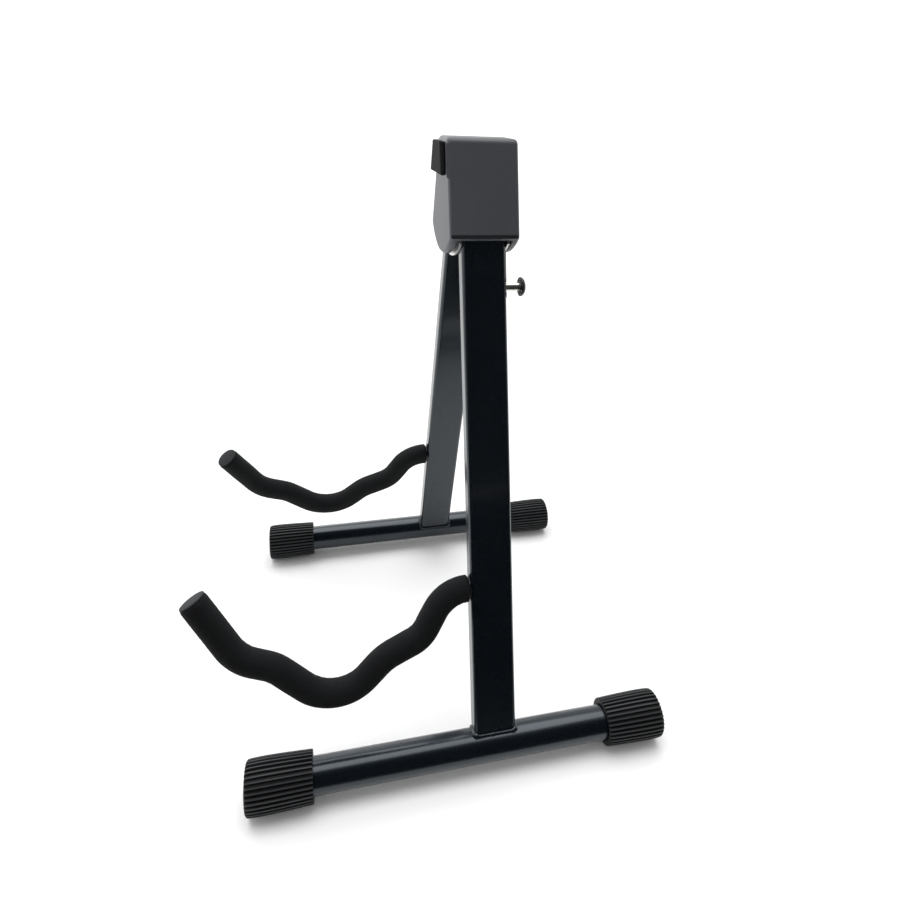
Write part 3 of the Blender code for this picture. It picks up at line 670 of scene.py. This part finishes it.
class STAND_OT_head(bpy.types.Operator):
    """Make the moulded head cover and its rubber rest pad"""

    bl_idname = "stand.head"
    bl_label = "Head"

    def execute(self, context):
        settings = context.scene.stand_head
        refined("head_cover", moulded_cover(
            tuple(settings.colour), PIVOT.z - SIDE_DROP), settings.edge)
        refined("rest_pad", pad_rubber(tuple(settings.pad_colour)), 0.0002)
        return {"FINISHED"}


class STAND_OT_hardware(bpy.types.Operator):
    """Make the lock pin, its knob, the screws and plates, and plate the hidden steel"""

    bl_idname = "stand.hardware"
    bl_label = "Hardware"

    def execute(self, context):
        zinc, nickel = zinc_plate(), nickel_plate()
        natural = natural_plastic()
        black = gloss_plastic("black_knob_plastic", (0.012, 0.012, 0.013), 0.26, 0.5)
        for plate in ("front_hinge_plate", "rear_hinge_plate"):
            refined(plate, zinc, 0.0002)
        self.lock_pin(nickel)
        self.lock_knob(black)
        for node in ("cover_screw_left", "cover_screw_right"):
            self.cover_screw(node, zinc)
        for node, item in frame["nodes"].items():
            kind = {"zinc_steel": zinc, "natural_plastic": natural}.get(SLOT_OF[node])
            if kind and not item.hide_render:
                item.data.materials.clear()
                item.data.materials.append(kind)
        return {"FINISHED"}

    @staticmethod
    def lock_pin(material):
        """Stepped pin with eased shoulders."""
        low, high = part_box("lock_pin")
        centre = (low + high) / 2
        radius = (high.z - low.z) / 2
        neck = radius - 0.00095
        back = PIVOT.y + LEG_WIDTH / 2
        for_node("lock_pin", turned([
            (radius - 0.0008, low.y), (radius, low.y + 0.0008), (radius, low.y + 0.0016),
            (neck, low.y + 0.0016), (neck, low.y + 0.0030), (radius, low.y + 0.0030),
            (radius, back - 0.0061), (neck, back - 0.0059), (neck, back - 0.0043),
            (radius, back - 0.0041), (radius, back + 0.0040), (radius, high.y - 0.0002),
            (radius - 0.0002, high.y),
        ], centre.x, centre.z, 48), material, sharp=40)

    @staticmethod
    def lock_knob(material):
        """Mushroom knob, hollow on the leg's side."""
        low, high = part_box("lock_knob")
        centre = (low + high) / 2
        radius = (high.z - low.z) / 2
        depth = (high.y - low.y) / 1.10
        flange = high.y - depth
        for_node("lock_knob", turned([
            (radius * share, flange + depth * along) for share, along in KNOB_OUTLINE
        ], centre.x, centre.z, 64), material, sharp=50)

    @staticmethod
    def cover_screw(node, material):
        """Pan-headed screw with a cross recess."""
        low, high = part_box(node)
        centre = (low + high) / 2
        head = (high.x - low.x) / 2
        shank = head / 2
        mesh_code = bmesh.new()
        segments = 72
        dome = [(head, 0.0017), (head * 0.98, 0.0011), (head * 0.92, 0.0006),
                (head * 0.82, 0.0003)]
        dome += [(head * share / 20, 0.0001) for share in range(15, 0, -1)]
        profile = [(shank / 2, high.y - low.y), (shank, high.y - low.y - 0.001),
                   (shank, 0.0021), (head, 0.0021)] + dome
        rings = []
        for radius, depth in profile:
            ring = []
            for turn in range(segments):
                angle = 2 * math.pi * turn / segments
                x, z = radius * math.cos(angle), radius * math.sin(angle)
                arm = max(abs(x), abs(z)) < head * 0.58 and min(abs(x), abs(z)) < head * 0.13
                recess = 0.0011 if arm and depth < 0.0002 else 0.0
                ring.append(mesh_code.verts.new(
                    (centre.x + x, high.y - depth - recess, centre.z + z)))
            rings.append(ring)
        bridge_rings(mesh_code, rings)
        for_node(node, mesh_code, material, sharp=40)


class STAND_OT_end_caps(bpy.types.Operator):
    """Make the four ribbed rubber end caps"""

    bl_idname = "stand.end_caps"
    bl_label = "End Caps"

    def execute(self, context):
        settings = context.scene.stand_caps
        for prefix, side in SIDES:
            low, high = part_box(prefix + "_foot_tube")
            tube = (low + high) / 2
            tube_radius = (high.z - low.z) / 2
            rubber = cap_rubber(prefix + "_cap_rubber", tube.x, tube.z, settings.ribs,
                                tuple(settings.colour))
            for place, outward in (("front", -1), ("back", 1)):
                node = f"{prefix}_cap_{place}"
                for_node(node, self.ribbed_cap(node, tube, tube_radius, outward, settings),
                         rubber, sharp=50)
        return {"FINISHED"}

    @staticmethod
    def ribbed_cap(node, axis, tube_radius, outward, settings):
        """Cup with ribs from its mouth to its closed end, and a slight barrel shape."""
        low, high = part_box(node)
        full = (high.z - low.z) / 2
        length = high.y - low.y
        mouth = low.y if outward > 0 else high.y
        bore = tube_radius + GAP
        barrel = settings.barrel

        def swell(along):
            """Radius on the ribs' crests: smaller at the mouth, full near the closed end."""
            share = along / length
            return full - barrel * (1 - min(share / 0.8, 1.0)) ** 1.6 - barrel * 0.6 * share ** 10

        # Distance from the mouth, radius, share of the ribs' depth.
        stations = [
            (0.0090, bore, 0.0), (0.0004, bore, 0.0), (0.0001, bore + 0.0003, 0.0),
            (0.0000, bore + 0.0006, 0.0), (0.0000, swell(0) - 0.0016, 0.0),
            (0.0000, swell(0) - 0.0004, 0.75), (0.0003, swell(0), 1.0),
        ]
        for step in range(1, 14):
            along = (length - 0.0012) * step / 13
            stations.append((along, swell(along), 1.0))
        rim = swell(length)
        stations += [
            (length - 0.0006, rim - 0.0004, 1.0), (length - 0.0002, rim - 0.0009, 0.75),
            (length, rim - 0.0016, 0.3), (length, rim - 0.0034, 0.0),
            (length - 0.0003, rim - 0.0042, 0.0), (length - 0.0005, rim - 0.0054, 0.0),
            (length - 0.0005, 0.0040, 0.0), (length - 0.0005, 0.0010, 0.0),
        ]
        count = RIB_POINTS * settings.ribs
        mesh_code = bmesh.new()
        rings = []
        for along, radius, ribbed in stations:
            ring = []
            for turn in range(count):
                angle = 2 * math.pi * turn / count - math.pi / 2
                across = abs(2 * ((turn / RIB_POINTS) % 1.0 - 0.5))
                groove = min(max((0.78 - across) / 0.60, 0.0), 1.0)
                groove = groove * groove * (3 - 2 * groove)
                reach = radius - settings.rib_depth * ribbed * groove
                ring.append(mesh_code.verts.new((
                    axis.x + reach * math.cos(angle), mouth + outward * along,
                    axis.z + reach * math.sin(angle))))
            rings.append(ring)
        bridge_rings(mesh_code, rings)
        return mesh_code


class STAND_OT_foam_sleeves(bpy.types.Operator):
    """Make the two foam sleeves and the flanged plugs in their ends"""

    bl_idname = "stand.foam_sleeves"
    bl_label = "Foam Sleeves"

    def execute(self, context):
        settings = context.scene.stand_foam
        foam = foam_skin(tuple(settings.colour))
        plug = gloss_plastic("grey_plug_plastic", (0.022, 0.023, 0.026), 0.55, 0.08)
        for prefix, side in SIDES:
            sleeve = for_node(prefix + "_foam_sleeve", self.sleeve(side, settings), foam, sharp=60)
            for_node(prefix + "_tip_plug", self.plug(side), plug, sharp=40)
        return {"FINISHED"}

    @staticmethod
    def sleeve(side, settings):
        """Foam tube along the arm, creased inside its bends, with soft cut ends."""
        path = even_path(arm_path(0.0010), FOAM_STEP)
        path[0] = path[0].lerp(path[1], FOAM_START / FOAM_STEP)
        path[-1] = path[-1].lerp(path[-2], (PLUG_FLANGE + GAP) / FOAM_STEP)
        ends = (path[0], path[-1])
        turns = []
        for index in range(len(path)):
            near = path[max(index - 2, 0)]
            here = path[index]
            far = path[min(index + 2, len(path) - 1)]
            turns.append((here - near).angle_signed(far - here, 0.0) / (2 * FOAM_STEP)
                         if 1 < index < len(path) - 2 else 0.0)

        def outside(index, angle):
            place = path[index]
            nearest = min((place - end).length for end in ends)
            rounding = FOAM_RIM - math.sqrt(
                max(FOAM_RIM ** 2 - max(FOAM_RIM - nearest, 0.0) ** 2, 0.0))
            inward = max(0.0, -math.copysign(1.0, turns[index]) * math.sin(angle))
            tight = min(abs(turns[index]) / 45, 1.0) * inward ** 2
            wave = 0.5 + 0.5 * math.sin(2 * math.pi * index * FOAM_STEP / 0.0058
                                        + 2.0 * noise.noise(Vector((index * 0.08, angle, side))))
            uneven = noise.noise(Vector((place.x * 70, place.y * 70 + math.sin(angle) * 0.7,
                                         math.cos(angle) * 0.7 + side * 5)))
            return (FOAM_RADIUS - rounding - settings.crease * tight * wave
                    - settings.softness * (0.5 + uneven))

        mesh_code = bmesh.new()
        rings = arm_rings(mesh_code, side, path, outside, 48)
        rings += list(reversed(arm_rings(mesh_code, side, path[::4] + path[-1:],
                                         lambda index, angle: FOAM_BORE, 48)))
        bridge_rings(mesh_code, rings, closed=True)
        return mesh_code

    @staticmethod
    def plug(side):
        """Stem inside the sleeve and a thin flange with an eased rim over its end."""
        tip = Vector(ARM_RUN[-1][:2])
        ahead = (tip - Vector(ARM_RUN[-2][:2])).normalized()
        # Depth from the arm's tip, radius.
        stations = ((PLUG_DEPTH - GAP, 0.0056), (PLUG_DEPTH - GAP - 0.0004, ROD_RADIUS),
                    (PLUG_FLANGE, ROD_RADIUS), (PLUG_FLANGE, 0.0086), (0.00035, 0.0086),
                    (0.00010, 0.00845), (0.0, 0.0081), (0.0, 0.0030))
        mesh_code = bmesh.new()
        rings = arm_rings(mesh_code, side, [tip - ahead * depth for depth, _ in stations],
                          lambda index, angle: stations[index][1], 48)
        bridge_rings(mesh_code, rings)
        return mesh_code


class STAND_OT_stage(bpy.types.Operator):
    """Set the pale floor, the soft studio light and the camera"""

    bl_idname = "stand.stage"
    bl_label = "Stage"

    def execute(self, context):
        settings = context.scene.stand_stage
        self.floor(tuple(settings.floor_colour))
        self.flag()
        self.surroundings(context.scene, settings.backdrop, settings.fill)
        front = self.light("front_softbox", "AREA", (0.15, -1.60, 0.95), settings.key_power)
        front.shape = "DISK"
        front.size = 1.5
        overhead = self.light("overhead_sheet", "SUN", (-0.24, -0.05, 1.00), settings.top_power)
        overhead.angle = math.radians(58)
        self.camera(context.scene)
        context.scene.view_settings.view_transform = "Standard"
        return {"FINISHED"}

    @staticmethod
    def floor(colour):
        """Wide matt floor just under the caps."""
        mesh_code = bmesh.new()
        bmesh.ops.create_circle(mesh_code, cap_ends=True, segments=128, radius=14.0)
        mesh = bpy.data.meshes.new("studio_floor")
        mesh_code.to_mesh(mesh)
        mesh_code.free()
        finish = Finish.of_material("floor_paint", roughness=0.9, specular_ior_level=0.1)
        cloud = finish.grain(0.8, 2.0)
        mesh.materials.append(finish.surface(
            finish.blend(cloud, shade(colour, 0.99), shade(colour, 1.01)), 0.88 + cloud * 0.04))
        item = bpy.data.objects.new("studio_floor", mesh)
        bpy.context.scene.collection.objects.link(item)

    @staticmethod
    def flag():
        """Black cloth beside the stand, seen only in the reflections of shiny faces."""
        mesh_code = bmesh.new()
        corners = ((0.18, -7.0), (9.0, -7.0), (9.0, 7.0), (0.18, 7.0))
        mesh_code.faces.new([mesh_code.verts.new((x, y, 0.001)) for x, y in corners])
        mesh = bpy.data.meshes.new("studio_flag")
        mesh_code.to_mesh(mesh)
        mesh_code.free()
        finish = Finish.of_material("black_cloth", roughness=1.0, specular_ior_level=0.0)
        weave = finish.grain(0.002)
        mesh.materials.append(finish.surface(
            finish.blend(weave, (0.002, 0.002, 0.002), (0.006, 0.006, 0.006))))
        item = bpy.data.objects.new("studio_flag", mesh)
        item.visible_camera = False
        item.visible_diffuse = False
        item.visible_shadow = False
        bpy.context.scene.collection.objects.link(item)

    @staticmethod
    def surroundings(scene, backdrop, fill):
        """Bright room. Shiny faces see a dark card on +X and a bright one on -X."""
        world = bpy.data.worlds.new("studio_room")
        scene.world = world
        room = Finish(world, "Background", color=(1.0, 1.0, 1.0))
        direction = room.node("ShaderNodeTexCoord", output="Generated")
        to_dark, to_bright = [
            room.node("ShaderNodeVectorMath", {"operation": "DOT_PRODUCT"},
                      {0: direction, 1: card}, output=1) for card in (DARK_CARD, BRIGHT_CARD)]
        dark = to_dark.between(0.0, 0.62)
        bright = to_bright.between(0.75, 0.98)
        seen = room.node("ShaderNodeLightPath", output="Is Camera Ray")
        shiny = room.node("ShaderNodeLightPath", output="Is Glossy Ray")
        plain = seen * backdrop + (1 - seen) * (1.0 - dark * 0.45) * fill
        reflected = 1.0 - dark * 0.97 + bright * 1.4
        room.feed(room.shader, "Strength", plain * (1 - shiny) + shiny * reflected)

    @staticmethod
    def light(name, kind, place, power):
        """A light of a kind at a place, aimed at the stand."""
        data = bpy.data.lights.new(name, kind)
        data.energy = power
        item = bpy.data.objects.new(name, data)
        item.location = place
        item.rotation_euler = (-Vector(place)).to_track_quat("-Z", "Y").to_euler()
        bpy.context.scene.collection.objects.link(item)
        return data

    @staticmethod
    def camera(scene):
        """Camera a little above the head, looking down past the folding leg."""
        data = bpy.data.cameras.new("camera")
        data.lens = CAMERA_LENS
        data.shift_x, data.shift_y = CAMERA_SHIFT
        data.clip_start = 0.02
        item = bpy.data.objects.new("camera", data)
        along, above = CAMERA_FROM_PIVOT
        place = Matrix.Translation((CAMERA_X, PIVOT.y + along, PIVOT.z + above))
        for degrees, axis in CAMERA_TURNS:
            place = place @ Matrix.Rotation(math.radians(degrees), 4, axis)
        item.matrix_world = place
        scene.collection.objects.link(item)
        scene.camera = item


class STAND_PT_panel(bpy.types.Panel):
    """Sizes, colours and pieces of the stand"""

    bl_idname = "STAND_PT_panel"
    bl_label = "Folding Stand"
    bl_space_type = "VIEW_3D"
    bl_region_type = "UI"
    bl_category = "Stand"

    def draw(self, context):
        for name in SETTINGS:
            group = getattr(context.scene, name)
            box = self.layout.box()
            for key in group.bl_rna.properties.keys():
                if key not in ("rna_type", "name"):
                    box.prop(group, key)
        for operator in OPERATORS:
            self.layout.operator(operator.bl_idname)


SETTINGS = {
    "stand_paint": StandPaint,
    "stand_head": StandHead,
    "stand_caps": StandCaps,
    "stand_foam": StandFoam,
    "stand_stage": StandStage,
}
OPERATORS = (
    STAND_OT_painted_tubes,
    STAND_OT_welds,
    STAND_OT_head,
    STAND_OT_hardware,
    STAND_OT_end_caps,
    STAND_OT_foam_sleeves,
    STAND_OT_stage,
)


def register():
    for kind in (*SETTINGS.values(), *OPERATORS, STAND_PT_panel):
        bpy.utils.register_class(kind)
    for name, kind in SETTINGS.items():
        setattr(bpy.types.Scene, name, PointerProperty(type=kind))


def unregister():
    for name in SETTINGS:
        delattr(bpy.types.Scene, name)
    for kind in reversed((*SETTINGS.values(), *OPERATORS, STAND_PT_panel)):
        bpy.utils.unregister_class(kind)


def main():
    register()
    bpy.ops.stand.painted_tubes()
    bpy.ops.stand.welds()
    bpy.ops.stand.head()
    bpy.ops.stand.hardware()
    bpy.ops.stand.end_caps()
    bpy.ops.stand.foam_sleeves()
    bpy.ops.stand.stage()
    bpy.context.view_layer.update()


if __name__ == "__main__":
    main()
